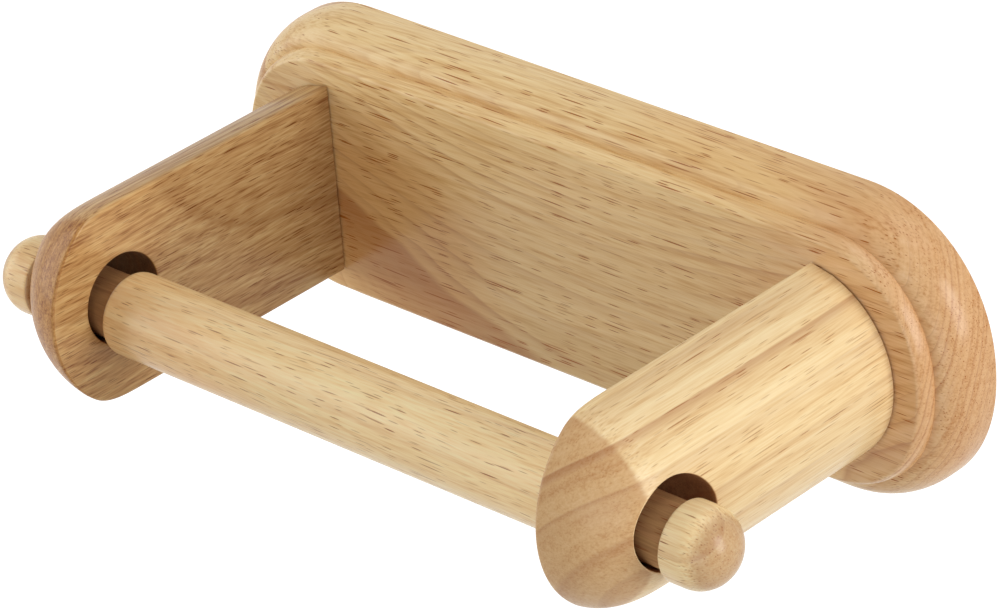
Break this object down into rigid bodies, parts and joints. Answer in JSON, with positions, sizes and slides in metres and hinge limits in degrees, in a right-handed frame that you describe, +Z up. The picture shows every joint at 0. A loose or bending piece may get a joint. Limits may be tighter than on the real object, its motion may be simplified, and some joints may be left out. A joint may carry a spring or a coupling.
{
  "type": "toilet roll holder",
  "caption": "Wall-mounted wooden toilet roll holder: moulded oblong back plate, half-round arms with domed ends, and a loose turned roller resting in holes near their fronts.",
  "frame": {"origin": "middle of the back plate's back face, which lies on the wall", "axes": "+X along the roller, +Y into the wall, +Z up"},
  "size_m": [0.2, 0.1011, 0.0682],
  "materials": {
    "plate_wood": "satin clear lacquer on planed and moulded rubberwood",
    "arm_wood": "satin clear lacquer on sanded rubberwood",
    "roller_wood": "satin clear lacquer on turned rubberwood",
    "hanger_steel": "zinc-plated pressed steel",
    "screw_steel": "zinc-plated steel"
  },
  "bodies": {
    "holder": {"arm_screw_left_lower": "screw_steel", "arm_screw_left_upper": "screw_steel", "arm_screw_right_lower": "screw_steel", "arm_screw_right_upper": "screw_steel", "back_plate": "plate_wood", "hanger_plate_left": "hanger_steel", "hanger_plate_right": "hanger_steel", "hanger_screw_left_lower": "screw_steel", "hanger_screw_left_upper": "screw_steel", "hanger_screw_right_lower": "screw_steel", "hanger_screw_right_upper": "screw_steel", "left_arm": "arm_wood", "right_arm": "arm_wood"},
    "roller": {"roller": "roller_wood"}
  },
  "joints": [
    {"name": "roller_spin", "type": "hinge", "parent": "holder", "child": "roller", "pos_m": [0, -0.0812, -0.0026], "axis": [1, 0, 0], "continuous": true}
  ]
}
